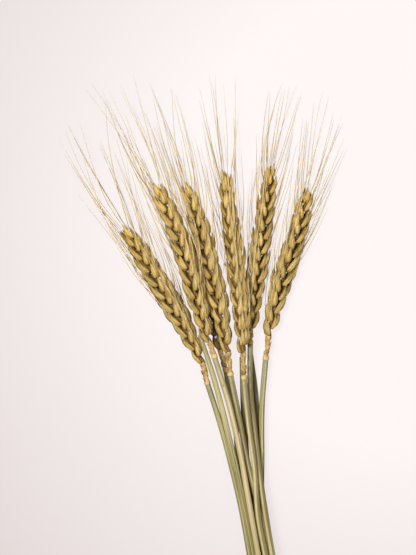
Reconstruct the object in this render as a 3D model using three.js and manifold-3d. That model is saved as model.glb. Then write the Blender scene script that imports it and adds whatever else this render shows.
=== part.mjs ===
// A bundle of dried bearded wheat lying on a surface: seven stalks with ears and three bare stems.
// Millimetres. +Z is up, the ears point along +Y, and the lowest point of the bundle is at Z = 0.
import * as THREE from "three";
import { mergeVertices } from "three/addons/utils/BufferGeometryUtils.js";
import Module from "manifold-3d";

const wasm = await Module();
wasm.setup();

// Driving dimensions.
const STEM_DIAMETER = 2.9; // a culm at its cut end
const STEM_NECK_DIAMETER = 2.6; // the same culm just below its collar
const CUT_END_Y = -208; // where the longest stems are cut
const BARE_TOP_TAPER = 0.7; // share of its diameter that a bare stem keeps at its dry top
const EAR_WIDTH = 10.2; // over both rows of spikelets, without awns
const EAR_DEPTH = 10.2; // across the fan of florets in one spikelet
const SPIKELET_LENGTH = 10.5; // from its foot on the rachis to the tips of its florets
const SPIKELET_WIDEST = 0.34; // share of its length, from its foot, at which it is widest
const SPIKELET_SPACING = 7.2; // between neighbours in one row
const SPIKELET_LEAN = 19; // degrees that a spikelet leans away from the rachis
const RACHIS_DIAMETER = 2.8; // the zigzag axis inside the ear
const COLLAR_DIAMETER = 3.5; // the ring where the culm ends and the ear's foot begins
const LOWER_SHARE = 0.55; // over this share of the ear, from its base, only some spikelets keep an awn
const LOWER_STRIDE = 3; // there, one spikelet in this many
const AWN_BOW = 2.6; // how far an awn bows outwards between its foot and its tip
const AWN_DIAMETER = 0.8; // at the foot of an awn
const AWN_MIDDLE_SHARE = 0.7; // of that diameter left halfway to the tip
const CLEARANCE = 0.3; // kept between separate pieces
const SLIVER = 0.03; // edges shorter than this are closed after a join
const LAY_GAP = 0.5; // kept between stalks where they are laid on each other
const STATION = 4; // step along Y at which the heights of the stalks are worked out
const STEM_STEP = 22; // length of one straight facet of a stem
const STEM_SIDES = 8;

// The stems run side by side below this Y, along a line that leans to the right.
const GATHER_Y = -57;
const GATHER_X = 5.9;
const GATHER_SLOPE = -0.18;

// Every stalk from its place in the gathered stems up to its tip, in the order of laying.
// place: where it lies across the gathered stems, in stem widths from their middle.
// cut: how much shorter than the longest it is cut. girth: share of the full ear's width.
// stem: points [x, y] above the gathering. foot: from the collar to the base of the ear.
// ear: points from the base of the ear to its tip. awn: length of its longest awns.
// lift: height of the tip above its rest.
const STALKS = [
  {
    name: "1",
    place: -1.5,
    cut: 2.5,
    stem: [[-4.4, -35], [-8.6, -19], [-14.3, 0]],
    foot: [[-15.5, 3]],
    ear: [[-18.1, 12.9], [-24, 23.8], [-34.8, 42.9], [-45.2, 61.9], [-53.8, 79]],
    girth: 1,
    awn: 60,
    lift: 0,
  },
  {
    name: "7",
    place: -0.5,
    cut: 0.8,
    stem: [[-0.4, -35], [-1.6, -19], [-4.3, 0]],
    foot: [[-6.7, 9]],
    ear: [[-9.5, 19], [-11, 26.2], [-15.2, 42.9], [-19.5, 61.9], [-23.8, 75.2]],
    girth: 0.84,
    awn: 46,
    lift: 0,
  },
  { name: "bare_right", place: 0.5, cut: 5, stem: [[7.7, -35], [9, -19], [7.5, 0], [5.2, 19]], lift: 0 },
  {
    name: "6",
    place: 1.5,
    cut: 0,
    stem: [[10.7, -35], [10.2, -19], [11.2, 0]],
    foot: [[12.5, 14.8]],
    ear: [[14.3, 25.7], [18.1, 42.9], [23.8, 61.9], [29, 81], [33.3, 95.7]],
    girth: 0.95,
    awn: 42,
    lift: 0,
  },
  { name: "bare_middle", place: 0, cut: 3.6, stem: [[3.6, -35], [2.6, -19], [1.4, 0], [1, 15]], lift: 0 },
  { name: "bare_left", place: -1, cut: 1.6, stem: [[-2.2, -35], [-6, -19], [-10.7, 0], [-19, 26]], lift: 0 },
  {
    name: "3",
    place: 1,
    cut: 2,
    stem: [[3.9, -35], [0.7, -19], [-2.3, 0]],
    foot: [[-4.5, 7.6]],
    ear: [[-6, 18.6], [-6.9, 23.8], [-11, 42.9], [-15.2, 61.9], [-20, 81], [-24.8, 99]],
    girth: 0.93,
    awn: 51,
    lift: 5,
  },
  {
    name: "5",
    place: 1.72,
    cut: 4.2,
    stem: [[9, -35], [7.1, -19], [5.1, 0], [4.1, 12]],
    foot: [[5, 22.5]],
    ear: [[5.7, 26.2], [6.2, 33.3], [7.8, 52.4], [10.7, 71.4], [12.9, 90.5], [14.8, 107.6]],
    girth: 0.85,
    awn: 44,
    lift: 0,
  },
  {
    name: "4",
    place: 0.7,
    cut: 0.4,
    stem: [[6.9, -35], [4.6, -19], [2.4, 0]],
    foot: [[1.9, 6.2]],
    ear: [[1.4, 18.1], [1, 23.8], [-0.2, 42.9], [-1.9, 59.5], [-4.8, 81], [-6.9, 104.3]],
    girth: 0.95,
    awn: 50,
    lift: 2,
  },
  {
    name: "2",
    place: -0.3,
    cut: 2.8,
    stem: [[1.2, -35], [-2.3, -19], [-6.9, 0]],
    foot: [[-12.1, 16.2]],
    ear: [[-14.8, 22.9], [-17.6, 33.3], [-22.9, 52.4], [-30, 71.4], [-35.2, 85.7], [-39.5, 98.6]],
    girth: 0.96,
    awn: 59,
    lift: 4,
  },
];

const straw = new THREE.MeshStandardMaterial({ color: "#bdb27a", roughness: 0.55, metalness: 0 });
const chaff = new THREE.MeshStandardMaterial({ color: "#b09850", roughness: 0.7, metalness: 0 });
const husk = new THREE.MeshStandardMaterial({ color: "#c79a4e", roughness: 0.75, metalness: 0 });

const UP = new THREE.Vector3(0, 0, 1);
const radians = THREE.MathUtils.degToRad;

// A spikelet reaches from the middle of the rachis to the side of the ear where it is widest.
const SPIKELET_HALF_THICKNESS = EAR_WIDTH / 4;
const SPIKELET_OFFSET = EAR_WIDTH / 4 - Math.sin(radians(SPIKELET_LEAN)) * SPIKELET_LENGTH * SPIKELET_WIDEST;

// X of a route at a given Y: a cubic through its points, with slopes taken across neighbours.
function acrossAt(route, y) {
  const last = route.length - 2;
  let i = 0;
  while (i < last && y > route[i + 1][1]) i++;
  const slope = (k) => {
    const a = route[Math.max(k - 1, 0)];
    const b = route[Math.min(k + 1, route.length - 1)];
    return (b[0] - a[0]) / (b[1] - a[1]);
  };
  const span = route[i + 1][1] - route[i][1];
  const t = (y - route[i][1]) / span;
  const rise = route[i + 1][0] - route[i][0];
  const bend = (1 - t) * (slope(i) * span - rise) + t * (rise - slope(i + 1) * span);
  return route[i][0] + t * rise + t * (1 - t) * bend;
}

// The whole route of a stalk in plan, from its cut end to its tip.
function planRoute(stalk) {
  const place = stalk.place * (STEM_DIAMETER + LAY_GAP);
  const gathered = (y) => [GATHER_X + place + GATHER_SLOPE * (y - GATHER_Y), y];
  const below = [CUT_END_Y + stalk.cut, -150, -100, GATHER_Y - 20, GATHER_Y].map(gathered);
  return [...below, ...stalk.stem, ...(stalk.foot ?? []), ...(stalk.ear ?? [])];
}

// Share of an ear's full girth at t along it: it swells from a narrow base and closes to a blunt tip.
const earSwell = (t) => 0.62 + 0.38 * Math.sin((Math.PI / 2) * Math.min(1, 4 * t)) - 0.34 * t ** 6;

// Radius of a stalk at a given Y, as it counts when stalks are laid on each other.
function girthAt(stalk, y) {
  if (!stalk.ear || y < stalk.foot[0][1] - STATION) return STEM_DIAMETER / 2;
  const base = stalk.ear[0][1];
  const tip = stalk.ear.at(-1)[1];
  if (y < base - STATION) return COLLAR_DIAMETER / 2;
  const t = THREE.MathUtils.clamp((y - base) / (tip - base), 0, 1);
  return (Math.max(EAR_WIDTH, EAR_DEPTH) / 2) * stalk.girth * earSwell(t);
}

// Lays a stalk over those already laid: at each station it lies on the surface or on what is below
// it, and between these supports it runs straight, as a stiff straw does. Returns its curve.
function lay(stalk, laid) {
  const route = planRoute(stalk);
  const start = route[0][1];
  const end = route.at(-1)[1];
  const count = Math.round((end - start) / STATION);
  const ys = Array.from({ length: count + 1 }, (_, i) => start + ((end - start) * i) / count);
  const xs = ys.map((y) => acrossAt(route, y));
  const floor = ys.map((y, i) => {
    const lean = (acrossAt(route, y + 1) - acrossAt(route, y - 1)) / 2;
    return laid.reduce((height, other) => {
      if (y < other.start - STATION || y > other.end + STATION) return height;
      const under = other.at(y);
      const reach = girthAt(stalk, y) + girthAt(other.stalk, y) + LAY_GAP;
      const apart = Math.abs(xs[i] - under.x) * Math.cos(Math.atan((lean + other.leanAt(y)) / 2));
      return apart < reach ? Math.max(height, under.z + Math.sqrt(reach ** 2 - apart ** 2)) : height;
    }, girthAt(stalk, y));
  });
  const zs = [...floor];
  zs[count] += stalk.lift;
  for (let pass = 0; pass < 3000; pass++)
    for (let i = 1; i < count; i++) zs[i] = Math.max(floor[i], (zs[i - 1] + zs[i + 1]) / 2);
  const eased = zs.map((z, i) => {
    const smooth = (zs[Math.max(i - 1, 0)] + 2 * z + zs[Math.min(i + 1, count)]) / 4;
    return i === 0 || i === count ? z : Math.max(floor[i], smooth);
  });
  const at = (y) => {
    const f = THREE.MathUtils.clamp((y - start) / (end - start), 0, 1) * count;
    const i = Math.min(Math.floor(f), count - 1);
    return { x: acrossAt(route, y), z: THREE.MathUtils.lerp(eased[i], eased[i + 1], f - i) };
  };
  const leanAt = (y) => (acrossAt(route, y + 1) - acrossAt(route, y - 1)) / 2;
  const curve = new THREE.CatmullRomCurve3(ys.map((y, i) => new THREE.Vector3(xs[i], y, eased[i])));
  curve.arcLengthDivisions = 4 * count;
  return { stalk, start, end, at, leanAt, curve, length: curve.getLength() };
}

// Distance along a laid stalk's curve at which it passes a given Y.
function distanceAt(line, y) {
  let low = 0;
  let high = 1;
  while (high - low > 1e-6) {
    const middle = (low + high) / 2;
    if (line.curve.getPointAt(middle).y < y) low = middle;
    else high = middle;
  }
  return low * line.length;
}

// Carries a point given beside a curve (x across, y along, z above) to its place; past the end of
// the curve it goes on straight.
function carry(line, point) {
  const u = THREE.MathUtils.clamp(point.y / line.length, 0, 1);
  const along = line.curve.getTangentAt(u);
  const across = along.clone().cross(UP).normalize();
  const above = across.clone().cross(along);
  return line.curve
    .getPointAt(u)
    .addScaledVector(along, point.y - u * line.length)
    .addScaledVector(across, point.x)
    .addScaledVector(above, point.z);
}

// Bends a geometry built along the Y axis so that it follows a curve.
function bend(geometry, line) {
  const position = geometry.getAttribute("position");
  const point = new THREE.Vector3();
  for (let i = 0; i < position.count; i++) {
    point.copy(carry(line, point.fromBufferAttribute(position, i)));
    position.setXYZ(i, point.x, point.y, point.z);
  }
  return geometry;
}

// A closed solid turned about the Y axis, from [radius, distance] pairs between its two poles.
function turned(profile, sides) {
  const points = profile.map(([radius, y]) => new THREE.Vector2(radius, y));
  return new THREE.LatheGeometry(points, sides);
}

function toSolid(geometry) {
  const bare = geometry.clone();
  bare.deleteAttribute("normal");
  bare.deleteAttribute("uv");
  const merged = mergeVertices(bare, 1e-4);
  const solid = new wasm.Manifold(
    new wasm.Mesh({
      numProp: 3,
      vertProperties: merged.attributes.position.array,
      triVerts: new Uint32Array(merged.index.array),
    }),
  );
  return solid;
}

// Joins solids into one body and closes the slivers that the join leaves.
const joined = (solids) => wasm.Manifold.union(solids).asOriginal().simplify(SLIVER);

function toMesh(name, solid, material) {
  const { vertProperties, triVerts } = solid.getMesh();
  const geometry = new THREE.BufferGeometry();
  geometry.setAttribute("position", new THREE.BufferAttribute(vertProperties, 3));
  geometry.setIndex(new THREE.BufferAttribute(triVerts, 1));
  geometry.computeVertexNormals();
  const mesh = new THREE.Mesh(geometry, material);
  mesh.name = name;
  return mesh;
}

// A culm: a straw that thins slightly towards the ear, with flat ends.
function makeStem(line, from, to, topShare) {
  const steps = Math.round((to - from) / STEM_STEP);
  const profile = [[0, from]];
  for (let i = 0; i <= steps; i++) {
    const t = i / steps;
    const diameter = THREE.MathUtils.lerp(STEM_DIAMETER, STEM_NECK_DIAMETER, t);
    profile.push([(diameter / 2) * (i === steps ? topShare : 1), THREE.MathUtils.lerp(from, to, t)]);
  }
  profile.push([0, to]);
  return toSolid(bend(turned(profile, STEM_SIDES), line));
}

// The foot of the ear: a collar ring, then bare rachis joints that carry dry bract scales.
function makeFoot(line, from, to) {
  const joints = Math.max(1, Math.round((to - from) / 3.4));
  const profile = [[0, from], [COLLAR_DIAMETER / 2, from], [COLLAR_DIAMETER / 2, from + 0.8]];
  for (let i = 0; i < joints; i++) {
    const low = THREE.MathUtils.lerp(from + 0.9, to, i / joints);
    const high = THREE.MathUtils.lerp(from + 0.9, to, (i + 0.8) / joints);
    profile.push([RACHIS_DIAMETER * 0.46, low + 0.1], [RACHIS_DIAMETER * 0.62, high]);
  }
  profile.push([RACHIS_DIAMETER * 0.46, to], [0, to]);
  return toSolid(bend(turned(profile, 6), line));
}

// The rachis inside an ear, from the ear's base to just below its tip.
function makeRachis(line, base) {
  const steps = 8;
  const profile = [[0, base]];
  for (let i = 0; i <= steps; i++) {
    const t = i / steps;
    profile.push([(RACHIS_DIAMETER / 2) * (1 - 0.3 * t), THREE.MathUtils.lerp(base, line.length - 5, t)]);
  }
  profile.push([0, line.length - 4]);
  return toSolid(bend(turned(profile, 5), line));
}

// One spikelet, flat towards the rachis and widest a third of the way up.
function makeSpikelet(line, foot, side, size) {
  const profile = [[0, 0], [1, SPIKELET_WIDEST], [0.55, 0.78], [0, 1]];
  const thickness = SPIKELET_HALF_THICKNESS * size;
  const breadth = (EAR_DEPTH / 2) * size;
  const spikelet = turned(profile, 5);
  spikelet.scale(thickness, SPIKELET_LENGTH * size, breadth);
  spikelet.rotateZ(-side * radians(SPIKELET_LEAN));
  spikelet.translate(side * SPIKELET_OFFSET * size, foot, 0);
  return toSolid(bend(spikelet, line));
}

// Where an awn leaves the tip of its spikelet, beside the ear's curve.
function awnFoot(foot, side, size) {
  const reach = SPIKELET_LENGTH * size * 0.86;
  const lean = radians(SPIKELET_LEAN);
  const out = SPIKELET_OFFSET * size + Math.sin(lean) * reach;
  return new THREE.Vector3(side * out, foot + (side ? Math.cos(lean) : 1) * reach, 0);
}

// An awn: a stiff three-sided bristle from a spikelet's tip. spread leans it outwards and turn
// swings it round the ear; extra thickens it, to find out whether it has room.
function makeAwn(line, root, spread, turn, length, extra) {
  const lean = radians(spread);
  const swing = new THREE.Vector3(0, 1, 0);
  const points = [0, 0.4, 1].map((t) => {
    const along = length * t;
    const out = along * Math.tan(lean) + AWN_BOW * Math.sin(Math.PI * t);
    const point = new THREE.Vector3(Math.sign(root.x || 1) * out, along, 0);
    const place = carry(line, point.applyAxisAngle(swing, turn).add(root));
    place.z = Math.max(place.z, AWN_DIAMETER / 2 + extra);
    return place;
  });
  const curve = new THREE.CatmullRomCurve3(points);
  const awn = { curve, length: curve.getLength() };
  const foot = AWN_DIAMETER / 2 + extra;
  const middle = (AWN_DIAMETER / 2) * AWN_MIDDLE_SHARE + extra;
  const profile = [[0, 0], [foot, 0.05], [middle, awn.length / 2], [0, awn.length]];
  return toSolid(bend(turned(profile, 3), awn));
}

// Lay the stalks, then cut each into its stem, its foot and its ear.
const lines = [];
for (const stalk of STALKS) lines.push(lay(stalk, lines));

const bundle = new THREE.Group();
bundle.name = "dried_wheat_bundle";
const taken = []; // every solid made so far, with the stalk that it belongs to
const ears = [];

for (const line of lines) {
  const { stalk } = line;
  const collar = stalk.ear ? distanceAt(line, stalk.foot[0][1]) : line.length;
  const stem = makeStem(line, 0, collar - (stalk.ear ? CLEARANCE : 0), stalk.ear ? 1 : BARE_TOP_TAPER);
  taken.push({ line, solid: stem });
  bundle.add(toMesh(`stem_${stalk.name}`, stem, straw));
  if (!stalk.ear) continue;

  const base = distanceAt(line, stalk.ear[0][1]);
  const foot = makeFoot(line, collar, base - CLEARANCE);
  taken.push({ line, solid: foot });
  bundle.add(toMesh(`ear_foot_${stalk.name}`, foot, husk));

  const earLength = line.length - base;
  const nodes = Math.round((earLength - SPIKELET_LENGTH * 0.8) / (SPIKELET_SPACING / 2));
  const solids = [makeRachis(line, base)];
  const roots = [];
  for (let i = 0; i <= nodes; i++) {
    const side = i % 2 ? 1 : -1;
    const t = i / nodes;
    const size = stalk.girth * earSwell(t) * 0.98;
    const start = base + t * (earLength - SPIKELET_LENGTH * size);
    solids.push(makeSpikelet(line, start, i === nodes ? 0 : side, size));
    roots.push({ point: awnFoot(start, i === nodes ? 0 : side, size), t, i });
  }
  const ear = joined(solids);
  taken.push({ line, solid: ear });
  ears.push({ line, ear, roots, awns: [] });
}

// Awns go on once every ear is in place: each is swung round its ear until it has room, and one
// that finds none is left out.
const SWINGS = [0, 24, -24, 48, -48, 72, -72];
for (const { line, roots, awns } of ears) {
  for (const { point, t, i } of roots) {
    if (t < LOWER_SHARE && i % LOWER_STRIDE) continue;
    const length = line.stalk.awn * (0.72 + 0.28 * t) * (0.92 + 0.08 * Math.sin(2.4 * i));
    const spread = 5 + 5 * (1 - t) + 5 * Math.sin(1.7 * i + lines.indexOf(line));
    const offset = 25 * Math.sin(3.1 * i + 1);
    for (const swing of SWINGS) {
      const turn = radians(offset + swing);
      const probe = makeAwn(line, point, spread, turn, length, CLEARANCE);
      const blocked = taken.some((other) => other.line !== line && !other.solid.intersect(probe).isEmpty());
      if (blocked) continue;
      const awn = makeAwn(line, point, spread, turn, length, 0);
      awns.push(awn);
      taken.push({ line, solid: awn });
      break;
    }
  }
}
for (const { line, ear, awns } of ears) {
  bundle.add(toMesh(`ear_${line.stalk.name}`, joined([ear, ...awns]), chaff));
}

// The origin is on the surface, under the middle of the whole bundle.
const box = new THREE.Box3().setFromObject(bundle);
const middle = box.getCenter(new THREE.Vector3());
for (const mesh of bundle.children) mesh.geometry.translate(-middle.x, -middle.y, -box.min.z);

export default bundle;
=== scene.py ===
"""A bundle of dried bearded wheat that lies on a pale surface, seen from above.

Every stalk follows its solid in the frame: a straw, the foot of its ear, then the ear itself with
its rachis, spikelets and awns. Metres, with the real sizes given in millimetres.
"""
import math

import bpy
import numpy as np
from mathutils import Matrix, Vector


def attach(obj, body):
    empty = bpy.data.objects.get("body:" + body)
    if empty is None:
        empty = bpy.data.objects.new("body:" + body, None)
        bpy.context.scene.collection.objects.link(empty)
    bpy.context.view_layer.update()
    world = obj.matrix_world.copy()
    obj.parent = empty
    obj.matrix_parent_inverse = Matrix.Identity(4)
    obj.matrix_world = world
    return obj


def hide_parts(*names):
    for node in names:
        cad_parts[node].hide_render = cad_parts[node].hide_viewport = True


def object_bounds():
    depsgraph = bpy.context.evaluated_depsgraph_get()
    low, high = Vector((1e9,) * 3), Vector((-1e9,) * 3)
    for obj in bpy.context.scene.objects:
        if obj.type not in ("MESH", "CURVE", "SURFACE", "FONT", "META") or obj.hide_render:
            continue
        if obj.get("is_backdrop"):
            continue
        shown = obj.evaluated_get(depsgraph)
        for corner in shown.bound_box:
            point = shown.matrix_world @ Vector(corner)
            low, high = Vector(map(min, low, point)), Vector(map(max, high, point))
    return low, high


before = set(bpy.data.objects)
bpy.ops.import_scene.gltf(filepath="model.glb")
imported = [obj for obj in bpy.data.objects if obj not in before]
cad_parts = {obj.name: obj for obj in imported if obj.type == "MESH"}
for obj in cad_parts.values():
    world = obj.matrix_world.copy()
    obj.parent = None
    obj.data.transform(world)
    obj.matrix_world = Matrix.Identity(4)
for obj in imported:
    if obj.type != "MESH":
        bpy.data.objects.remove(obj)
CAD_LOW, CAD_HIGH = (np.array(corner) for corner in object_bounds())

MM = 0.001
UP = np.array([0.0, 0.0, 1.0])

# Ears, in the order of their names. awn: length of the longest awns in mm. girth: share of a full
# ear's width. roll: degrees by which its right row is turned up. open: degrees by which the awns
# stand off the ear on its left and on its right. darkening: how far its chaff is darkened towards
# brown, from 0 to 1; on ear 7, which lies hidden under ears 2 and 3, this is painted shade.
# curl: how far one long awn at its tip curls to the right.
EARS = {
    "1": {"awn": 58, "girth": 0.92, "roll": 22, "open": (-2, 13), "darkening": 0.0, "curl": 0.42, "seed": 11},
    "2": {"awn": 59, "girth": 0.9, "roll": 18, "open": (-9, 9), "darkening": 0.0, "curl": 0.0, "seed": 22},
    "3": {"awn": 52, "girth": 0.86, "roll": 20, "open": (-3, 9), "darkening": 0.0, "curl": 0.0, "seed": 33},
    "4": {"awn": 50, "girth": 0.84, "roll": 52, "open": (2, 9), "darkening": 0.1, "curl": 0.0, "seed": 44},
    "5": {"awn": 46, "girth": 0.82, "roll": -24, "open": (3, 10), "darkening": 0.0, "curl": 0.0, "seed": 55},
    "6": {"awn": 48, "girth": 0.88, "roll": -20, "open": (2, 11), "darkening": 0.0, "curl": 0.0, "seed": 66},
    "7": {"awn": 44, "girth": 0.86, "roll": 10, "open": (4, 4), "darkening": 0.9, "curl": 0.0, "seed": 77},
}

# Straws: how green and how tan each is, and how deep the painted shade on it is where it lies
# under others, from 0 to 1.
STRAWS = {
    "1": (0.6, 0.0, 0.0),
    "2": (0.0, 0.9, 0.0),
    "3": (0.3, 0.1, 0.12),
    "4": (0.15, 0.3, 0.0),
    "5": (0.3, 0.2, 0.05),
    "6": (0.3, 0.1, 0.0),
    "7": (0.35, 0.0, 0.6),
    "bare_left": (0.3, 0.15, 0.15),
    "bare_middle": (0.55, 0.0, 1.0),
    "bare_right": (0.5, 0.0, 0.65),
}

SPIKELET_SPACING = 7.2  # mm between neighbours in one row
SPIKELET_LENGTH = 10.5  # mm
STRAW_WALL = 0.45  # mm, the thickness of a hollow culm's wall
BORE_DEPTH = 7  # mm from the cut to where the bore closes
NECK_SHARE = 2.6 / 2.9  # a culm's width below its ear, as a share of its width at the cut
BARE_TIP_SHARE = 0.75  # width of a bare culm's tip, as a share of its neck
CUT_SLANTS = (0.3, 1.1, 0.5, 0.9, 0.2)  # mm by which the cuts are tilted, in turn
RING_STEP = 3.2  # mm between the rings of a straw
STRAW_WAVES = (23, 41, 67)  # mm, the lengths of the faint waves in a straw's width
JOINT_LENGTH = 3.2  # mm, about one joint of the foot of an ear
ROUND = 6.28  # radians, about one full turn
REST_LEVEL = 0.35  # mm, the lowest that the middle of an awn lies above the surface
RACHIS_SWAY = 0.55  # mm by which the rachis zigzags to each side
RACHIS_RADIUS = (1.0, 0.6)  # mm, at the foot of the ear and at its tip


# ---------------------------------------------------------------- lines in space


def unit(v):
    """Vectors scaled to length one."""
    return v / np.maximum(np.linalg.norm(v, axis=-1, keepdims=True), 1e-12)


def lengths(line):
    """Distance along a line at each of its points."""
    return np.concatenate([[0.0], np.cumsum(np.linalg.norm(np.diff(line, axis=0), axis=1))])


def resampled(line, count):
    """The same line with evenly spaced points."""
    s = lengths(line)
    at = np.linspace(0, s[-1], count)
    return np.stack([np.interp(at, s, line[:, k]) for k in range(3)], axis=1)


def through(points, count):
    """A Catmull-Rom curve through the points, evenly resampled.

    Between neighbours b and c it is half of 2b + (c-a)t + (2a-5b+4c-d)t^2 + (3b-a-3c+d)t^3.
    """
    p = np.vstack([2 * points[0] - points[1], points, 2 * points[-1] - points[-2]])
    t = np.linspace(0, 1, 12, endpoint=False)[None, :, None]
    a, b, c, d = (p[i : len(p) - 3 + i, None] for i in range(4))
    curve = 2 * b + (c - a) * t
    curve = curve + (2 * a - 5 * b + 4 * c - d) * t**2
    curve = 0.5 * (curve + (3 * b - a - 3 * c + d) * t**3)
    return resampled(np.vstack([curve.reshape(-1, 3), points[-1:]]), count)


class Guide:
    """A line with its own directions: along it, across it (level) and above it."""

    def __init__(self, line, roll=0.0):
        self.line = line
        self.s = lengths(line)
        self.length = self.s[-1]
        self.along = unit(np.gradient(line, self.s, axis=0))
        level = unit(np.cross(self.along, UP))
        above = np.cross(level, self.along)
        turn = math.radians(roll)
        self.across = level * math.cos(turn) + above * math.sin(turn)
        self.above = above * math.cos(turn) - level * math.sin(turn)

    def pick(self, values, s):
        """A list of vectors along the line, read at distance s."""
        return np.stack([np.interp(s, self.s, values[:, k]) for k in range(3)], axis=-1)

    def directions(self, s):
        """Across, along and above at distance s."""
        return [unit(self.pick(values, s)) for values in (self.across, self.along, self.above)]

    def carry(self, across, along, above):
        """A point beside the line, given by its three distances, in the frame."""
        s = np.clip(along, 0, self.length)
        a, t, n = self.directions(s)
        over = np.asarray(along - s)[..., None]
        return (
            self.pick(self.line, s)
            + t * over
            + a * np.asarray(across)[..., None]
            + n * np.asarray(above)[..., None]
        )


def mesh_points(node):
    """The different vertices of a solid in the frame."""
    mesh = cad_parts[node].data
    co = np.empty(len(mesh.vertices) * 3, np.float32)
    mesh.vertices.foreach_get("co", co)
    return np.unique(np.round(co.reshape(-1, 3).astype(float), 6), axis=0)


def straw_line(node):
    """The middle line of a culm: the mean of each ring of its vertices, which lie far apart."""
    points = mesh_points(node)
    points = points[np.argsort(points[:, 1])]
    breaks = np.where(np.diff(points[:, 1]) > 3 * MM)[0] + 1
    return np.array([ring.mean(axis=0) for ring in np.split(points, breaks)])


def cut_radius(node, middle):
    """The radius of a culm at its cut: how far its lowest ring lies from its middle."""
    points = mesh_points(node)
    low = points[points[:, 1] < points[:, 1].min() + 2.5 * MM]
    away = np.linalg.norm(low - middle, axis=1)
    return away[away > 0.5 * MM].mean()


def foot_line(node, start):
    """The middle line of an ear's foot: from the end of its culm to the middle of its top ring."""
    points = mesh_points(node)
    top = points[points[:, 1] > points[:, 1].max() - 0.9 * MM].mean(axis=0)
    return np.linspace(start, top, 5)


def ear_line(node, base, heading):
    """The middle line of an ear: slab by slab, the mean of the vertices near the axis.

    A cubic is then fitted to these means. The ear ends where no vertex is near the axis any more:
    beyond it only awns go on.
    """
    step = 3 * MM
    half_slab = 5 * MM
    reach = 5.6 * MM  # from the axis to the spikelets' backs
    core_reach = 2.6 * MM
    tip_reach = 3.4 * MM  # inside this the ear itself has vertices all along it
    tip_gap = 4.5 * MM
    points = mesh_points(node)
    here = base
    found = [base]
    for _ in range(60):
        guess = here + heading * step
        off = points - guess
        ahead = off @ heading
        aside = np.linalg.norm(off - ahead[:, None] * heading, axis=1)
        in_slab = np.abs(ahead) < half_slab
        near = points[in_slab & (aside < reach)]
        if len(near) < 6 or not np.any(in_slab & (aside < core_reach)):
            break
        drift = near.mean(axis=0) - guess
        here = guess + 0.35 * (drift - (drift @ heading) * heading)
        found.append(here)
        if len(found) > 4:
            heading = unit(found[-1] - found[-5])
    found = np.array(found)
    for _ in range(2):
        line = resampled(found, 400)
        s = lengths(line)
        near = np.array([np.argmin(np.linalg.norm(line - p, axis=1)) for p in points])
        close = np.linalg.norm(line[near] - points, axis=1) < tip_reach
        core = np.sort(s[near[close]])
        gaps = np.where(np.diff(core) > tip_gap)[0]
        tip = core[gaps[0]] if len(gaps) else core[-1]
        kept = found[lengths(found) < tip - 2 * MM]
        s = lengths(kept)
        fits = [np.polynomial.Polynomial.fit(s, kept[:, k], 3, w=1 + 30 * (s == 0)) for k in range(3)]
        found = np.stack([fit(np.linspace(0, tip, 40)) for fit in fits], axis=1)
    return resampled(found, 60)


# ---------------------------------------------------------------- meshes


_skins = {}


def corner_pairs(*corners):
    """Corner coordinates (u, v) of many faces at once, as faces x corners x 2."""
    return np.array(corners).transpose(2, 0, 1)


def skin(rings, sides):
    """Faces and their corner coordinates over rings of points with a pole at each end.

    Points run ring by ring, then the first pole, then the last one. u goes round and v along. Every
    face's corners turn so that it faces outwards.
    """
    if (rings, sides) not in _skins:
        i, j = np.meshgrid(np.arange(rings - 1), np.arange(sides), indexing="ij")
        i, j = i.ravel(), j.ravel()
        k = (j + 1) % sides
        here, there = i * sides, (i + 1) * sides
        quads = np.stack([here + k, here + j, there + j, there + k], axis=1)
        v = (np.arange(rings) + 1) / (rings + 1)
        u, u_next = j / sides, (j + 1) / sides
        quad_uv = corner_pairs((u_next, v[i]), (u, v[i]), (u, v[i + 1]), (u_next, v[i + 1]))

        j = np.arange(sides)
        k = (j + 1) % sides
        last = (rings - 1) * sides
        low = np.stack([j, k, np.full(sides, rings * sides)], axis=1)
        high = np.stack([last + k, last + j, np.full(sides, rings * sides + 1)], axis=1)
        u, u_next, half = j / sides, (j + 1) / sides, (j + 0.5) / sides
        first, final = np.full(sides, v[0]), np.full(sides, v[-1])
        low_uv = corner_pairs((u, first), (u_next, first), (half, 0 * half))
        high_uv = corner_pairs((u_next, final), (u, final), (half, 0 * half + 1))
        faces = [*quads.tolist(), *low.tolist(), *high.tolist()]
        uv = np.concatenate([part.reshape(-1, 2) for part in (quad_uv, low_uv, high_uv)])
        _skins[rings, sides] = (faces, uv)
    return _skins[rings, sides]


class Growth:
    """Closed surfaces that grew together, gathered into one mesh with several materials."""

    def __init__(self):
        self.points = []
        self.faces = []
        self.uv = []
        self.notes = []
        self.materials = []
        self.total = 0

    def add(self, rings, first, last, note, material):
        """One closed surface: rings of points between two poles. note: three numbers for its points."""
        count, sides = rings.shape[:2]
        faces, uv = skin(count, sides)
        self.points.append(np.vstack([rings.reshape(-1, 3), first, last]))
        self.faces += [[v + self.total for v in face] for face in faces]
        self.uv.append(uv)
        note = np.asarray(note, float)
        if note.ndim == 1:
            note = np.tile(note, (count * sides + 2, 1))
        self.notes.append(note)
        self.materials.append(np.full(len(faces), material))
        self.total += count * sides + 2

    def to_object(self, name, materials):
        """The finished piece, with smooth faces, its corner coordinates and its points' notes."""
        mesh = bpy.data.meshes.new(name)
        mesh.from_pydata(np.vstack(self.points).tolist(), [], self.faces)
        for material in materials:
            mesh.materials.append(material)
        mesh.polygons.foreach_set("material_index", np.concatenate(self.materials).astype(np.int32))
        mesh.polygons.foreach_set("use_smooth", np.ones(len(mesh.polygons), bool))
        mesh.uv_layers.new(name="surface").data.foreach_set("uv", np.concatenate(self.uv).ravel())
        notes = mesh.attributes.new("grown", "FLOAT_VECTOR", "POINT")
        notes.data.foreach_set("vector", np.vstack(self.notes).ravel())
        mesh.update()
        obj = bpy.data.objects.new(name, mesh)
        bpy.context.scene.collection.objects.link(obj)
        return obj


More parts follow.
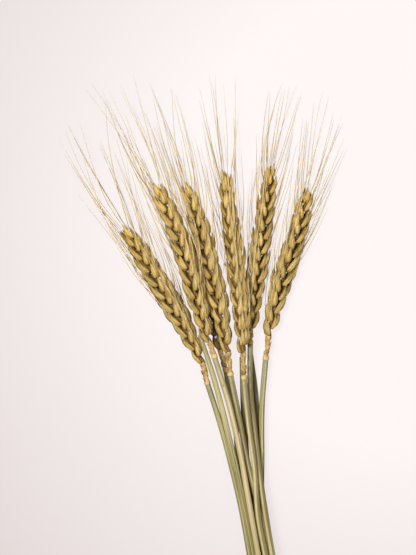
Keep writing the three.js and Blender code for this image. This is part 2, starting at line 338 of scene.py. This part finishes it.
def tube_rings(line, radii, sides, flat=1.0):
    """Rings round a line: middle + radius * (cos of the angle * across + flat * sin * above)."""
    guide = Guide(line)
    angle = np.linspace(0, 2 * math.pi, sides, endpoint=False)
    radii = np.broadcast_to(np.asarray(radii, float), (len(line),))
    return line[:, None] + radii[:, None, None] * (
        np.cos(angle)[None, :, None] * guide.across[:, None]
        + flat * np.sin(angle)[None, :, None] * guide.above[:, None]
    )


# ---------------------------------------------------------------- the parts of a stalk


def make_straw(name, line, radii, shades, seed, slant):
    """A culm: a round tube with faint long waves, hollow where it was cut.

    Radius = the culm's own radius, times 1 + 0.012 * sin for each of three slow waves along it. The
    wall turns in at the cut and the bore closes at its depth. slant tilts the cut in mm.
    """
    rng = np.random.default_rng(seed)
    sides = 20
    count = int(lengths(line)[-1] / (RING_STEP * MM))
    middle = through(line, count)
    s = lengths(middle)
    radius = np.interp(s, lengths(line) / lengths(line)[-1] * s[-1], radii)
    for wave in STRAW_WAVES:
        radius = radius * (1 + 0.012 * np.sin(s / (wave * MM) * ROUND + rng.uniform(0, ROUND)))
    rings = tube_rings(middle, radius, sides, flat=0.97)
    angle = np.linspace(0, 2 * math.pi, sides, endpoint=False)
    along = Guide(middle).along
    tilt = slant * MM * np.cos(angle + rng.uniform(0, ROUND))
    tilt = tilt + 0.12 * MM * rng.normal(size=sides)
    rings[0] += tilt[:, None] * along[0]
    inner = middle[0] + (rings[0] - middle[0]) * (1 - STRAW_WALL * MM / radius[0])
    bore = inner + along[0] * BORE_DEPTH * MM - tilt[:, None] * along[0]
    lip = (rings[0] + inner) / 2 - along[0] * 0.08 * MM
    rings = np.concatenate([[bore, inner, lip], rings])
    # dark: how deep the painted shade on this straw is, carried in the notes below 0.
    green, tan, dark = shades
    below = np.concatenate([[s[-1]] * 3, s[-1] - s]) / MM
    note = np.stack([green + 0 * below, np.full(len(below), tan - dark), below], axis=1)
    note = np.vstack([np.repeat(note, sides, axis=0), note[:1], note[-1:]])
    straw = Growth()
    straw.add(rings, bore.mean(axis=0), middle[-1] + along[-1] * 0.2 * MM, note, 0)
    return straw.to_object(name, [straw_material])


def boat(length, width, thick, keel, bow, hook=0.0):
    """A glume or a lemma, pointing along +Y with its keel towards +X.

    Half width at v = width * v^0.45 * (1-v), scaled to 1 at its widest. Outwards the section
    is round with a raised keel and inwards it is shallow. The axis bows outwards by bow * sin(pi v).
    """
    v = np.array([0.025, 0.13, 0.31, 0.53, 0.75, 0.91])
    swell = v**0.45 * (1 - v)
    swell = swell / (0.31**0.45 * 0.69)
    angle = np.linspace(0, 2 * math.pi, 8, endpoint=False)
    out = np.where(np.sin(angle) >= 0, np.sin(angle), 0.45 * np.sin(angle))
    out = out + keel * (np.abs(angle - math.pi / 2) < 0.1)
    axis = bow * np.sin(math.pi * v) - hook * v**3
    x = axis[:, None] + thick * swell[:, None] * out[None]
    y = np.repeat(v[:, None], 8, axis=1) * length
    z = -width * swell[:, None] * np.cos(angle)[None]
    rings = np.stack([x, y, z], axis=2)
    return rings, np.array([0.0, 0.0, 0.0]), np.array([-hook, length, 0.0])


def placed(rings, first, last, at, heading, outward):
    """A shape given along +Y with its back to +X, set at a point with its own directions."""
    heading = unit(heading)
    side = unit(np.cross(outward, heading))
    back = np.cross(heading, side)
    turn = np.stack([back, heading, side])
    return rings @ turn + at, first @ turn + at, last @ turn + at


def bristle(ear, start, first, final, length, thick, bend, note):
    """An awn: a three-sided bristle that leaves its lemma and turns towards its final heading.

    Its heading at v is the mean of first and final weighted by how far it has turned, plus a bend
    that grows with v. Where it would sink into the surface it lies on it instead.
    """
    v = np.linspace(0, 1, 10)
    turned = 1 - (1 - v) ** 3
    headings = unit(first * (1 - turned)[:, None] + final * turned[:, None] + bend * (v**1.5)[:, None])
    steps = headings[:-1] * (length / 9)
    line = start + np.vstack([np.zeros(3), np.cumsum(steps, axis=0)])
    line[:, 2] = np.maximum(line[:, 2], REST_LEVEL * MM)
    radius = thick / 2 * (1 - 0.78 * v**0.8)
    rings = tube_rings(line, radius, 3)
    ear.add(rings[1:-1], line[0], line[-1], note, 1)


def make_ear(name, guide, traits):
    """One ear: a zigzag rachis, two rows of spikelets with their florets, and the awns.

    Spikelets grow to full size over the lowest quarter of the ear, as a quarter of a sine wave, and
    shrink again near its tip with t^5. The last one stands in the middle and points onwards.
    """
    rng = np.random.default_rng(traits["seed"])
    ear = Growth()
    length = guide.length / MM
    girth = traits["girth"]
    nodes = round((length - SPIKELET_LENGTH * 0.8) / (SPIKELET_SPACING / 2))

    s = np.linspace(-0.5, length - 6, 4 * nodes)
    zigzag = RACHIS_SWAY * girth * np.cos(math.pi * s / (SPIKELET_SPACING / 2))
    core = guide.carry(zigzag * MM, s * MM, 0 * s)
    rings = tube_rings(core, np.linspace(*RACHIS_RADIUS, len(s)) * MM * girth, 6)
    # The rachis is painted dark (Z below 0): painted shade where it lies hidden between the spikelets.
    ear.add(rings, core[0], core[-1], (0.0, 0.0, -0.6), 2)

    for i in range(nodes + 1):
        side = 0 if i == nodes else (1 if i % 2 else -1)
        t = i / nodes
        swell = 0.72 + 0.28 * math.sin(math.pi / 2 * min(1, 3.6 * t)) - 0.22 * t**5
        size = girth * swell
        foot = t * (length - SPIKELET_LENGTH * size * (0.95 if side else 1.02))
        make_spikelet(ear, guide, rng, side, t, size, foot, traits)

    if traits["curl"]:
        start = guide.carry(np.array(1.2 * MM), np.array((length - 4) * MM), np.array(0.8 * MM))
        a, along, n = guide.directions(np.array(guide.length))
        first = unit(along + 0.26 * a + 0.05 * n)
        curl = traits["curl"] * a
        bristle(ear, start, first, first, 1.1 * traits["awn"] * MM, 0.7 * MM, curl, (0.3, 1.0, 0.0))
    return ear.to_object(name, [chaff_material, awn_material, rachis_material])


# The parts of one spikelet, in mm and degrees for a full-sized one: distance out from the middle of
# the rachis, distance above it, how far up it starts, length, half width, half thickness, keel,
# lean outwards, lean upwards, share of its back that faces outwards, and what its tip bears: nothing,
# a short beak or an awn.
BARE = 0
BEAK = 1
AWN = 2
GRAINS = (1.25, 0.0, -0.4, 10.8, 3.15, 1.9, 0.0, 12, 0, 1.0, BARE)
GLUME = (0.55, 1.6, 0.0, 9.6, 1.65, 1.4, 0.4, 17, 9, 0.4, BEAK)
FLORET = (1.4, 1.2, 1.4, 12.0, 1.75, 1.55, 0.4, 17, 8, 0.66, AWN)
MIDDLE_FLORET = (1.9, 0.0, 2.6, 11.0, 1.65, 1.35, 0.35, 19, 0, 1.0, AWN)
TOP_GLUME = (0.9, 0.8, 0.0, 9.0, 1.6, 1.1, 0.3, 9, 5, 0.7, BEAK)
TOP_FLORET = (0.5, 1.2, 1.4, 10.2, 1.4, 1.1, 0.2, 4, 4, 0.25, AWN)


def make_spikelet(ear, guide, rng, side, t, size, foot, traits):
    """One spikelet: its plump body, two glumes and three florets, each a keeled boat.

    They stand off the rachis to one side and fan out above and below it. A boat that would reach
    below the surface is lifted onto it.
    """
    if side:
        parts = [(GRAINS, side, 0), (GLUME, side, 1), (GLUME, side, -1)]
        parts += [(FLORET, side, 1), (FLORET, side, -1), (MIDDLE_FLORET, side, 0)]
    else:
        parts = [(TOP_GLUME, 1, 1), (TOP_GLUME, -1, 1), (TOP_GLUME, 1, -1), (TOP_GLUME, -1, -1)]
        parts += [(TOP_FLORET, 1, 1), (TOP_FLORET, -1, -1), (TOP_FLORET, 0, 1)]
    fresh = rng.uniform(0, 1)
    spread = 0.64 + 0.36 * min(1, 3.6 * t) - 0.35 * t**4
    for part, out_side, up_side in parts:
        out, up, start, length, width, thick, keel, lean, rise, back, bears = part
        lean = math.radians(lean * spread + rng.normal(0, 2.6))
        rise = math.radians(rise + rng.normal(0, 2.2))
        scale = size * rng.uniform(0.94, 1.06)
        where = foot + start * size + rng.normal(0, 0.25)
        a, along, n = guide.directions(np.array(np.clip(where * MM, 0, guide.length)))
        at = guide.carry(
            np.array(out_side * out * size * spread * MM),
            np.array(where * MM),
            np.array(up_side * up * size * MM),
        )
        heading = along + a * out_side * math.tan(lean) + n * up_side * math.tan(rise)
        outward = a * (out_side or 0.2) * back + n * up_side * (1 - back) + n * 0.15 * rng.normal()
        bow = 0.055 * length * scale
        shape = boat(length * scale, width * scale, thick * scale, keel, bow, 0.5 * scale)
        rings, first, last = placed(*(part * MM for part in shape), at, heading, outward)
        sink = min(0.0, rings[..., 2].min() - 0.05 * MM)
        rings[..., 2] -= sink
        first, last = first - [0, 0, sink], last - [0, 0, sink]
        golden = 1.0 if not side else max(0.0, 3 * t - 2.2)
        grey = 0.7 * fresh * (1 - golden) + 0.3 * rng.uniform(0, 1)
        # Z: how golden, less the ear's darkening, which on ear 7 is painted shade.
        ear.add(rings, first, last, (rng.uniform(0, 1), grey, golden - traits["darkening"]), 0)
        if bears == BEAK:
            start, aim = last - unit(heading) * 0.7 * MM, unit(heading + 0.2 * rng.normal(size=3))
            note = (rng.uniform(0, 0.6), t, 0.0)
            length = rng.uniform(1.8, 5.0) * MM
            bristle(ear, start, unit(heading), aim, length, 0.55 * MM, 0 * aim, note)
        if bears != AWN:
            continue
        if rng.uniform() > (0.3 if up_side == 0 else 0.5) + 0.5 * t:
            continue
        make_awn(ear, guide, rng, last, heading, out_side, up_side, t, foot, traits)


def make_awn(ear, guide, rng, tip, heading, out_side, up_side, t, foot, traits):
    """The awn of one floret, on an ear's own side and at t of the way up the ear.

    Length = the ear's longest awn * (0.62 + 0.36 t), with some chance in it, so a lower awn is
    shorter. It stands off by its side's opening * (0.3 + 0.7 t), and one in twenty curls.
    """
    full = traits["awn"]
    length = full * (0.62 + 0.36 * t) * rng.uniform(0.82, 1.04)
    a, along, n = guide.directions(np.array(guide.length))
    left, right = traits["open"]
    stand = math.radians((left if out_side < 0 else right) * (0.3 + 0.7 * t) + rng.normal(0, 1.6 + 1.8 * t))
    lift = math.radians(up_side * 2 + rng.normal(0, 3.0) + 1.0)
    sideways = out_side if out_side else rng.choice([-1, 1]) * 0.5
    local = unit(guide.pick(guide.along, np.array((foot + 8) * MM)))
    final = unit(0.4 * along + 0.6 * local)
    final = unit(final + a * sideways * math.tan(stand) + n * math.tan(lift))
    bend = a * rng.normal(0, 0.05) + n * rng.normal(0, 0.03)
    if rng.uniform() < 0.05:
        bend = bend + a * 0.3
    start = tip - unit(heading) * 0.5 * MM
    thick = rng.uniform(0.5, 0.76) * MM
    note = (rng.uniform(0, 1), t, 0.0)
    bristle(ear, start, unit(heading), final, length * MM, thick, bend, note)


def make_foot(name, guide, radius, seed):
    """The foot of an ear: a collar ring, then flattened zigzag joints wrapped in torn dry scales.

    Half width in mm = (0.9 + 0.35 * share^1.5) * (1 + 0.25 * s / length), where share is how far up
    its joint a point is. Six small scales stand round each joint.
    """
    rng = np.random.default_rng(seed)
    foot = Growth()
    length = guide.length / MM
    joints = max(1, round(length / JOINT_LENGTH))
    s = np.linspace(0, length, 6 * joints + 1)
    share = (s / length * joints) % 1.0
    share[-1] = 1.0
    side = np.where(np.floor(np.minimum(s / length * joints, joints - 0.01)) % 2, 1, -1)
    width = (0.9 + 0.35 * share**1.5) * (1 + 0.25 * s / length)
    middle = guide.carry(side * 0.32 * np.sin(math.pi * share) * MM, s * MM, 0 * s)
    rings = tube_rings(middle, width * MM, 10, flat=0.8)
    rough = 1 + 0.05 * rng.normal(size=rings.shape[:2])
    rings = middle[:, None] + (rings - middle[:, None]) * rough[..., None]
    foot.add(rings, middle[0], middle[-1], (0.4, 0.6, 0.0), 0)

    ring = np.linspace(-0.7, 1.1, 6)
    thick = (radius / MM + 0.05) * (1 + 0.13 * np.sin(math.pi * np.linspace(0, 1, 6)))
    middle = guide.carry(0 * ring, ring * MM, 0 * ring)
    rings = tube_rings(middle, thick * MM, 14)
    jag = 0.22 * MM * rng.normal(size=14)
    rings[-1] += jag[:, None] * guide.along[0]
    foot.add(rings, middle[0], middle[-1], (0.8, 1.0, 0.6), 0)

    for k in range(joints):
        for turn in range(6):
            angle = rng.uniform(0, 0.8) + turn * 1.05 + k * 2.2
            top = (k + rng.uniform(0.1, 0.85)) * length / joints
            a, along, n = guide.directions(np.array(min(top, length) * MM))
            outward = a * math.cos(angle) + n * math.sin(angle)
            at = guide.carry(np.array(0.0), np.array(top * MM), np.array(0.0)) + outward * 0.7 * MM
            heading = along + outward * rng.uniform(0.05, 0.28) + 0.1 * rng.normal(size=3)
            size = rng.uniform(1.6, 3.4)
            shape = boat(size, rng.uniform(0.6, 1.1), 0.3, 0.1, 0.15, 0.1)
            rings, first, last = placed(*(part * MM for part in shape), at, heading, outward)
            foot.add(rings, first, last, (rng.uniform(0, 1), 0.5, rng.uniform(-0.6, 0.5)), 0)
    return foot.to_object(name, [rachis_material])


# ---------------------------------------------------------------- materials


def linear(colour):
    """A colour written as sRGB hex, as linear red, green, blue and alpha."""
    parts = [int(colour[i : i + 2], 16) / 255 for i in (1, 3, 5)]
    return [*(c / 12.92 if c <= 0.04045 else ((c + 0.055) / 1.055) ** 2.4 for c in parts), 1.0]


def put(tree, kind, settings=None, values=(), **inputs):
    """Adds a node, sets it up, and sets or links its inputs, in order or by name."""
    node = tree.nodes.new(kind)
    for key, value in (settings or {}).items():
        setattr(node, key, value)
    pairs = list(zip(node.inputs, values))
    for key, value in inputs.items():
        name = key.replace("_", " ")
        pairs.append((next(s for s in node.inputs if s.enabled and s.name == name), value))
    for socket, value in pairs:
        if isinstance(value, bpy.types.NodeSocket):
            tree.links.new(value, socket)
        else:
            socket.default_value = value
    return node


def maths(tree, operation, a, b=0.0):
    """One arithmetic step between numbers or sockets."""
    return put(tree, "ShaderNodeMath", {"operation": operation}, (a, b)).outputs[0]


def vectors(tree, operation, a, b=(0.0, 0.0, 0.0)):
    """One arithmetic step between vectors. Length and distance come out as numbers."""
    node = put(tree, "ShaderNodeVectorMath", {"operation": operation}, (a, b))
    return node.outputs["Value" if operation in ("LENGTH", "DISTANCE") else "Vector"]


def blend(tree, share, a, b):
    """Mixes two colours, each a hex colour or a socket."""
    a, b = (linear(c) if isinstance(c, str) else c for c in (a, b))
    node = put(tree, "ShaderNodeMix", {"data_type": "RGBA"}, Factor=share, A=a, B=b)
    return next(s for s in node.outputs if s.enabled)


def ramp(tree, value, low, high):
    """0 below low, 1 above high and straight between them."""
    node = put(tree, "ShaderNodeMapRange", {"clamp": True}, Value=value, From_Min=low, From_Max=high)
    return node.outputs[0]


def new_material(name):
    """A material, its node tree and its one principled shader."""
    material = bpy.data.materials.new(name)
    material.use_nodes = True
    tree = material.node_tree
    return material, tree, next(n for n in tree.nodes if n.type == "BSDF_PRINCIPLED")


def start_material(name):
    """A new material with its surface's notes, its corner coordinates and its place."""
    material, tree, shader = new_material(name)
    notes = put(tree, "ShaderNodeAttribute", {"attribute_name": "grown"})
    notes = put(tree, "ShaderNodeSeparateXYZ", Vector=notes.outputs["Vector"]).outputs
    uv = put(tree, "ShaderNodeUVMap", {"uv_map": "surface"}).outputs[0]
    place = put(tree, "ShaderNodeTexCoord").outputs["Object"]
    return material, tree, shader, notes, uv, place


def noise(tree, vector, scale, detail=3.0, rough=0.55):
    """Soft noise from 0 to 1."""
    kind = "ShaderNodeTexNoise"
    return put(tree, kind, Vector=vector, Scale=scale, Detail=detail, Roughness=rough).outputs[0]


def stretched(tree, vector, x, y, z):
    """Coordinates multiplied by three numbers."""
    return vectors(tree, "MULTIPLY", vector, (x, y, z))


def share_of(tree, value, share):
    """A number or socket times a constant."""
    return maths(tree, "MULTIPLY", value, share)


def make_chaff():
    """Dried glumes and lemmas, sun-bleached and papery: nerves run along each from foot to tip.

    Golden at the foot, with a painted highlight on its plump lower part and painted shade at its root,
    grey-green towards the tip, with brown flecks, painted shade along its margins and inner side and a
    painted highlight on its keel. Notes: X its own tone, Y how grey it is, Z above 0 how golden and below
    0 how far it is darkened to brown, which on the hidden ear 7 is painted shade.
    """
    material, tree, shader, notes, uv, place = start_material("dried_chaff_sun_bleached")
    parts = put(tree, "ShaderNodeSeparateXYZ", Vector=uv).outputs
    v = parts["Y"]
    own = stretched(tree, place, 120, 120, 120)
    streaks = noise(tree, vectors(tree, "ADD", stretched(tree, uv, 16, 1.3, 1), own), 1.0, 3)
    patches = noise(tree, place, 160, 3)  # about 6 mm wide
    flecks = noise(tree, place, 900, 2, 0.6)  # about 1 mm wide

    colour = blend(tree, notes["X"], "#BA8F3C", "#EAC87A")
    green = maths(tree, "MULTIPLY", ramp(tree, v, 0.3, 0.85), ramp(tree, patches, 0.3, 0.65))
    green = maths(tree, "MULTIPLY", green, ramp(tree, notes["Z"], 1.0, 0.0))
    colour = blend(tree, share_of(tree, green, 0.85), colour, "#8F814A")
    colour = blend(tree, share_of(tree, notes["Y"], 0.5), colour, "#9E884A")
    colour = blend(tree, ramp(tree, notes["Z"], 0.0, 1.6), colour, "#E2BC5C")
    # Darkened to brown where Z is below 0: painted shade on the hidden ear 7.
    colour = blend(tree, ramp(tree, notes["Z"], 0.0, -1.4), colour, "#5C4620")
    colour = blend(tree, share_of(tree, ramp(tree, streaks, 0.5, 0.68), 0.6), colour, "#7A6434")
    colour = blend(tree, share_of(tree, ramp(tree, streaks, 0.46, 0.3), 0.55), colour, "#F3DDA2")
    colour = blend(tree, share_of(tree, ramp(tree, flecks, 0.6, 0.72), 0.65), colour, "#4E3B18")
    # Painted highlight on the plump lower part of each boat.
    plump = maths(tree, "MULTIPLY", ramp(tree, v, 0.08, 0.22), ramp(tree, v, 0.6, 0.3))
    colour = blend(tree, share_of(tree, plump, 0.38), colour, "#DDAE54")
    # Painted shade at the root of each boat, where it tucks into the ear.
    root = ramp(tree, v, 0.2, 0.0)
    colour = blend(tree, share_of(tree, root, 0.6), colour, "#6B4A16")
    round_it = maths(tree, "SINE", share_of(tree, parts["X"], 2 * math.pi))  # 1 on the keel
    # Painted shade along each boat's margins and inner side, away from its keel.
    painted_edge_shade = ramp(tree, round_it, 0.6, -0.35)
    colour = blend(tree, share_of(tree, painted_edge_shade, 0.62), colour, "#644410")
    # Painted highlight along the keel of each boat.
    painted_keel_highlight = maths(tree, "MULTIPLY", ramp(tree, round_it, 0.93, 1.0), ramp(tree, v, 0.2, 0.5))
    colour = blend(tree, share_of(tree, painted_keel_highlight, 0.45), colour, "#F2DC9E")
    tree.links.new(colour, shader.inputs["Base Color"])

    nerve = put(tree, "ShaderNodeTexWave", {"bands_direction": "X"}, Vector=uv, Scale=3.2, Distortion=0.6)
    height = maths(tree, "ADD", share_of(tree, nerve.outputs[1], 0.6), streaks)
    bump = put(tree, "ShaderNodeBump", Strength=0.55, Distance=0.00022, Height=height)
    tree.links.new(bump.outputs[0], shader.inputs["Normal"])
    rough = put(tree, "ShaderNodeMapRange", Value=patches, To_Min=0.48, To_Max=0.74).outputs[0]
    tree.links.new(rough, shader.inputs["Roughness"])
    shader.inputs["Specular IOR Level"].default_value = 0.35
    return material


def make_awn_material():
    """Dry awns, thin and slightly glossy: pale straw with greyer stretches. Notes: X its own tone."""
    material, tree, shader, notes, uv, place = start_material("dry_awn_bristle")
    patches = noise(tree, place, 90, 2)  # about 11 mm long
    colour = blend(tree, notes["X"], "#F0CA84", "#FBE6B4")
    colour = blend(tree, share_of(tree, ramp(tree, patches, 0.5, 0.75), 0.35), colour, "#A39A84")
    tree.links.new(colour, shader.inputs["Base Color"])
    barbs = noise(tree, stretched(tree, uv, 1, 90, 1), 1.0, 2)
    bump = put(tree, "ShaderNodeBump", Strength=0.3, Distance=0.00005, Height=barbs)
    tree.links.new(bump.outputs[0], shader.inputs["Normal"])
    shader.inputs["Roughness"].default_value = 0.5
    return material


def make_rachis():
    """Dried rachis and its bract scales: tan, fibrous and torn, pale at the collar.

    Notes: X its own tone, Z above 0 how pale and below 0 how dark it is: painted shade on the rachis
    hidden between the spikelets, and a darker own tone on some of the foot's scales.
    """
    material, tree, shader, notes, uv, place = start_material("dried_rachis_torn_bracts")
    patches = noise(tree, place, 700, 3)  # about 1.4 mm wide
    fibres = noise(tree, stretched(tree, uv, 14, 2.5, 1), 1.0, 3)
    colour = blend(tree, notes["X"], "#BD8F42", "#F2D38C")
    colour = blend(tree, share_of(tree, ramp(tree, patches, 0.45, 0.7), 0.6), colour, "#7A5524")
    colour = blend(tree, share_of(tree, ramp(tree, fibres, 0.5, 0.75), 0.5), colour, "#EBCF96")
    colour = blend(tree, ramp(tree, notes["Z"], 0.0, 1.6), colour, "#E9CB92")
    # Darker where Z is below 0: painted shade on the rachis, a darker own tone on foot scales.
    colour = blend(tree, ramp(tree, notes["Z"], 0.0, -1.0), colour, "#4F3A18")
    tree.links.new(colour, shader.inputs["Base Color"])
    bump = put(tree, "ShaderNodeBump", Strength=0.6, Distance=0.0002, Height=fibres)
    tree.links.new(bump.outputs[0], shader.inputs["Normal"])
    shader.inputs["Roughness"].default_value = 0.7
    return material


RIBS = 26  # fine ribs round a culm


def make_straw_material():
    """Dried culms, smooth and waxy: fine ribs and long streaks, grey-green just below the collar.

    Notes: X how green, Y above 0 how tan and below 0 how deep the painted shade is on a straw that lies
    under others, deepest far below its top, Z the mm below its top. The streaks run with the culm: their
    pattern is read on a circle round it and slowly along it.
    """
    material, tree, shader, notes, uv, place = start_material("dried_culm_ribbed_waxy")
    parts = put(tree, "ShaderNodeSeparateXYZ", Vector=uv).outputs
    round_it = share_of(tree, parts["X"], 2 * math.pi)
    apart = share_of(tree, maths(tree, "ADD", notes["X"], notes["Y"]), 37.0)
    x = share_of(tree, maths(tree, "COSINE", round_it), 1.7)
    y = share_of(tree, maths(tree, "SINE", round_it), 1.7)
    z = maths(tree, "ADD", share_of(tree, notes["Z"], 0.012), apart)
    along = put(tree, "ShaderNodeCombineXYZ", X=x, Y=y, Z=z).outputs[0]
    streaks = noise(tree, along, 1.0, 4, 0.62)
    patches = noise(tree, stretched(tree, place, 60, 22, 60), 1.0, 2)  # about 45 mm long
    stains = noise(tree, place, 240, 3, 0.6)  # about 4 mm wide
    colour = blend(tree, ramp(tree, streaks, 0.36, 0.62), "#5F5020", "#F6E7AC")
    colour = blend(tree, share_of(tree, notes["X"], 0.5), colour, "#918B42")
    tan = ramp(tree, notes["Y"], 0.0, 1.0)
    colour = blend(tree, share_of(tree, tan, 0.7), colour, "#D6BC8E")
    # Painted shade on straws that lie under others.
    dark = ramp(tree, notes["Y"], 0.0, -1.0)
    colour = blend(tree, share_of(tree, dark, 0.8), colour, "#5F5628")
    # Deeper painted shade further below the top on the shaded straws.
    low = maths(tree, "MULTIPLY", dark, ramp(tree, notes["Z"], 20.0, 100.0))
    colour = blend(tree, share_of(tree, low, 0.75), colour, "#2E280F")
    collar = ramp(tree, notes["Z"], 26.0, 4.0)
    colour = blend(tree, share_of(tree, collar, 0.5), colour, "#8E8B62")
    colour = blend(tree, share_of(tree, ramp(tree, patches, 0.45, 0.7), 0.35), colour, "#8C8040")
    colour = blend(tree, share_of(tree, ramp(tree, stains, 0.66, 0.76), 0.5), colour, "#6B5628")
    tree.links.new(colour, shader.inputs["Base Color"])
    ribs = maths(tree, "SINE", share_of(tree, parts["X"], 2 * math.pi * RIBS))
    height = maths(tree, "ADD", share_of(tree, ribs, 0.35), streaks)
    bump = put(tree, "ShaderNodeBump", Strength=0.4, Distance=0.0001, Height=height)
    tree.links.new(bump.outputs[0], shader.inputs["Normal"])
    shader.inputs["Roughness"].default_value = 0.38
    shader.inputs["Specular IOR Level"].default_value = 0.5
    return material


PAINTED_LIGHT_POOL_MIDDLE = (0.094, 0.109, 0.0)  # middle of the pool of light painted on the surface, in metres


def make_surface_material():
    """The plain pale surface, glowing evenly by itself, with a painted pool of light right of the ears."""
    material, tree, shader = new_material("plain_pale_surface")
    place = put(tree, "ShaderNodeTexCoord").outputs["Object"]
    off = vectors(tree, "DISTANCE", place, PAINTED_LIGHT_POOL_MIDDLE)
    # Painted pool of light: brighter towards the pool's middle.
    colour = blend(tree, ramp(tree, off, 0.25, 0.11), "#E0D6D5", "#FFF8F7")
    far = ramp(tree, vectors(tree, "LENGTH", place), 0.24, 0.9)
    colour = blend(tree, far, colour, "#F6EEEC")
    tree.links.new(colour, shader.inputs["Emission Color"])
    glow = put(tree, "ShaderNodeMapRange", Value=far, To_Min=0.85, To_Max=0.96).outputs[0]
    tree.links.new(glow, shader.inputs["Emission Strength"])
    shader.inputs["Base Color"].default_value = linear("#625F5E")
    shader.inputs["Roughness"].default_value = 0.9
    shader.inputs["Specular IOR Level"].default_value = 0.0
    return material


def make_underlay_material():
    """A matt dark cloth under the surface, which keeps light from rising through it."""
    material, _, shader = new_material("matt_dark_cloth")
    shader.inputs["Base Color"].default_value = linear("#4A4540")
    shader.inputs["Roughness"].default_value = 1.0
    shader.inputs["Specular IOR Level"].default_value = 0.0
    return material


def make_backdrop_material():
    """The pale wall of the studio, far away and evenly lit."""
    material, _, shader = new_material("pale_studio_wall")
    shader.inputs["Base Color"].default_value = linear("#000000")
    shader.inputs["Emission Color"].default_value = linear("#F6EEEC")
    shader.inputs["Emission Strength"].default_value = 0.96
    shader.inputs["Specular IOR Level"].default_value = 0.0
    return material


chaff_material = make_chaff()
awn_material = make_awn_material()
rachis_material = make_rachis()
straw_material = make_straw_material()


# ---------------------------------------------------------------- the bundle


def finished(obj, node):
    """A piece takes the place of its solid and rides on the one body."""
    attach(obj, "root")
    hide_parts(node)


for number, (name, shades) in enumerate(STRAWS.items()):
    node = f"stem_{name}"
    line = straw_line(node)
    at_cut = cut_radius(node, line[0])
    neck = at_cut * NECK_SHARE
    radii = np.linspace(at_cut, neck, len(line))
    radii[-1] = neck if name in EARS else neck * BARE_TIP_SHARE
    slant = CUT_SLANTS[number % len(CUT_SLANTS)]
    straw = make_straw(f"straw_{name}", line, radii, shades, 100 + number, slant)
    finished(straw, node)
    if name not in EARS:
        continue
    foot = foot_line(f"ear_foot_{name}", line[-1])
    base = foot[-1]
    heading = unit(line[-1] - line[-2])
    ear = ear_line(f"ear_{name}", base, heading)
    guide = Guide(ear, EARS[name]["roll"])
    piece = make_foot(f"foot_{name}", Guide(resampled(foot, 12)), neck, 200 + number)
    finished(piece, f"ear_foot_{name}")
    piece = make_ear(f"wheat_ear_{name}", guide, EARS[name])
    finished(piece, f"ear_{name}")


# ---------------------------------------------------------------- surface, light and camera

VIEW_HEIGHT = 0.2643  # metres that the view takes in from top to bottom
HEADROOM = 0.0337  # left above the highest awn
ASIDE = 0.0024  # the view's middle is this far right of the bundle's middle
LENS = 100.0
SENSOR = 36.0
SUBJECT_LEVEL = 0.008  # height of the ears' faces above the surface
BACKDROP = 6.0  # metres from the bundle to the pale backdrop all round it

bpy.ops.mesh.primitive_plane_add(size=2 * BACKDROP)
floor = bpy.context.object
floor.name = "surface"
floor.data.materials.append(make_surface_material())
floor.visible_diffuse = False
floor.visible_glossy = False
floor.visible_shadow = False
floor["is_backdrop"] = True

bpy.ops.mesh.primitive_plane_add(size=2, location=(0, 0, -0.0002))
underlay = bpy.context.object
underlay.name = "underlay"
underlay.data.materials.append(make_underlay_material())
underlay.visible_camera = False
underlay.visible_shadow = False
underlay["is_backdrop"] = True

bpy.ops.mesh.primitive_uv_sphere_add(segments=48, ring_count=24, radius=BACKDROP)
backdrop = bpy.context.object
backdrop.name = "backdrop"
backdrop.data.materials.append(make_backdrop_material())
backdrop.visible_diffuse = False
backdrop.visible_glossy = False
backdrop.visible_shadow = False
backdrop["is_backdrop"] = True


def area_light(name, size, power, at, towards):
    """A large soft light that faces a point."""
    data = bpy.data.lights.new(name, "AREA")
    data.shape = "SQUARE"
    data.size = size
    data.energy = power
    light = bpy.data.objects.new(name, data)
    light.location = at
    away = np.array(at, float) - np.array(towards, float)
    x, y, z = unit(away)
    light.rotation_euler = (math.atan2(math.hypot(x, y), z), 0, math.atan2(x, -y))
    bpy.context.scene.collection.objects.link(light)
    light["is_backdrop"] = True


EARS_MIDDLE = (0, 0.08, 0)
area_light("soft_main", 0.35, 17.3, (-0.34, 0.34, 1.25), EARS_MIDDLE)
area_light("soft_fill", 1.0, 3, (0.7, -0.2, 1.1), EARS_MIDDLE)

world = bpy.data.worlds.new("pale_room")
bpy.context.scene.world = world
world.use_nodes = True
background = next(n for n in world.node_tree.nodes if n.type == "BACKGROUND")
background.inputs[0].default_value = linear("#FBF6F4")
background.inputs[1].default_value = 0.15

distance = VIEW_HEIGHT / SENSOR * LENS
camera_data = bpy.data.cameras.new("camera")
camera_data.lens = LENS
camera_data.sensor_width = SENSOR
camera_data.clip_start = 0.05
camera_data.clip_end = 10
camera = bpy.data.objects.new("camera", camera_data)
middle = (CAD_LOW + CAD_HIGH) / 2
camera.location = (
    middle[0] + ASIDE,
    CAD_HIGH[1] + HEADROOM - VIEW_HEIGHT / 2,
    SUBJECT_LEVEL + distance,
)
bpy.context.scene.collection.objects.link(camera)
bpy.context.scene.camera = camera
bpy.context.scene.view_settings.view_transform = "Standard"
